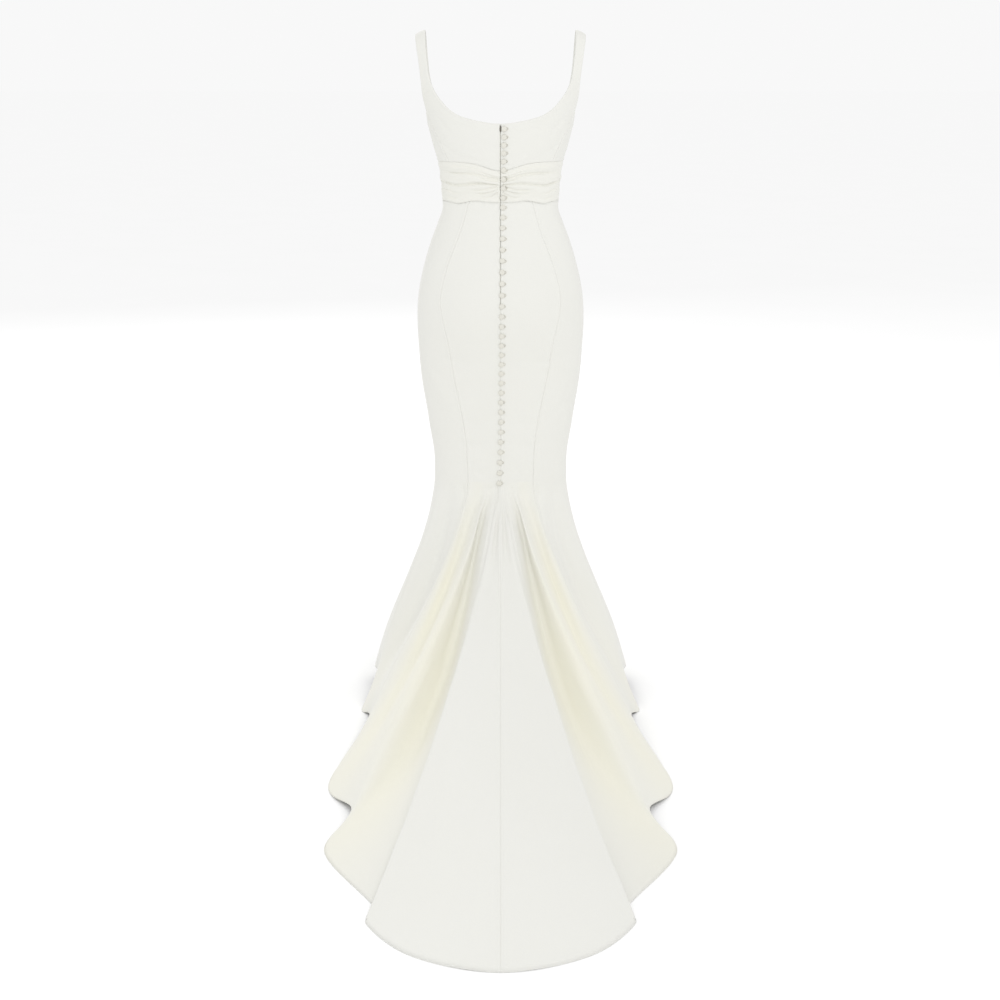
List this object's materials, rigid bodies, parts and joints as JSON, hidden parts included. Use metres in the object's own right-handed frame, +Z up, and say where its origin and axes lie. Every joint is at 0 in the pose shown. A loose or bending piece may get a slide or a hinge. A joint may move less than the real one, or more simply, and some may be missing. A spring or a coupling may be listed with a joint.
{
  "type": "mermaid gown",
  "caption": "Sleeveless mermaid gown with a scooped back, a row of covered buttons, a draped midriff band and a skirt that flares from the knee into a long train.",
  "frame": {"origin": "midway between the two straps, on top of the shoulders that hold the gown", "axes": "+Z up; the front faces -Y and the train runs out along +Y; +X is the wearer's left"},
  "size_m": [0.672, 1.617, 1.4355],
  "materials": {
    "ivory_crepe": "matte crepe",
    "covered_button": "crepe drawn over a domed button",
    "zip_tape": "woven tape"
  },
  "bodies": {
    "root": {"back_bodice_left": "ivory_crepe", "back_bodice_right": "ivory_crepe", "side_back_bodice_left": "ivory_crepe", "side_back_bodice_right": "ivory_crepe", "side_front_bodice_left": "ivory_crepe", "side_front_bodice_right": "ivory_crepe", "front_bodice": "ivory_crepe", "back_midriff_left": "ivory_crepe", "back_midriff_right": "ivory_crepe", "front_midriff": "ivory_crepe", "centre_back_skirt_left": "ivory_crepe", "centre_back_skirt_right": "ivory_crepe", "side_back_skirt_left": "ivory_crepe", "side_back_skirt_right": "ivory_crepe", "side_front_skirt_left": "ivory_crepe", "side_front_skirt_right": "ivory_crepe", "centre_front_skirt": "ivory_crepe", "button_01": "covered_button", "button_02": "covered_button", "button_03": "covered_button", "button_04": "covered_button", "button_05": "covered_button", "button_06": "covered_button", "button_07": "covered_button", "button_08": "covered_button", "button_09": "covered_button", "button_10": "covered_button", "button_11": "covered_button", "button_12": "covered_button", "button_13": "covered_button", "button_14": "covered_button", "button_15": "covered_button", "button_16": "covered_button", "button_17": "covered_button", "button_18": "covered_button", "button_19": "covered_button", "button_20": "covered_button", "button_21": "covered_button", "button_22": "covered_button", "button_23": "covered_button", "button_24": "covered_button", "button_25": "covered_button", "button_26": "covered_button", "button_27": "covered_button", "button_28": "covered_button", "button_29": "covered_button", "button_30": "covered_button", "button_31": "covered_button", "button_32": "covered_button", "button_33": "covered_button", "button_34": "covered_button", "button_35": "covered_button", "button_36": "covered_button", "button_37": "covered_button", "concealed_zip": "zip_tape"}
  },
  "joints": []
}
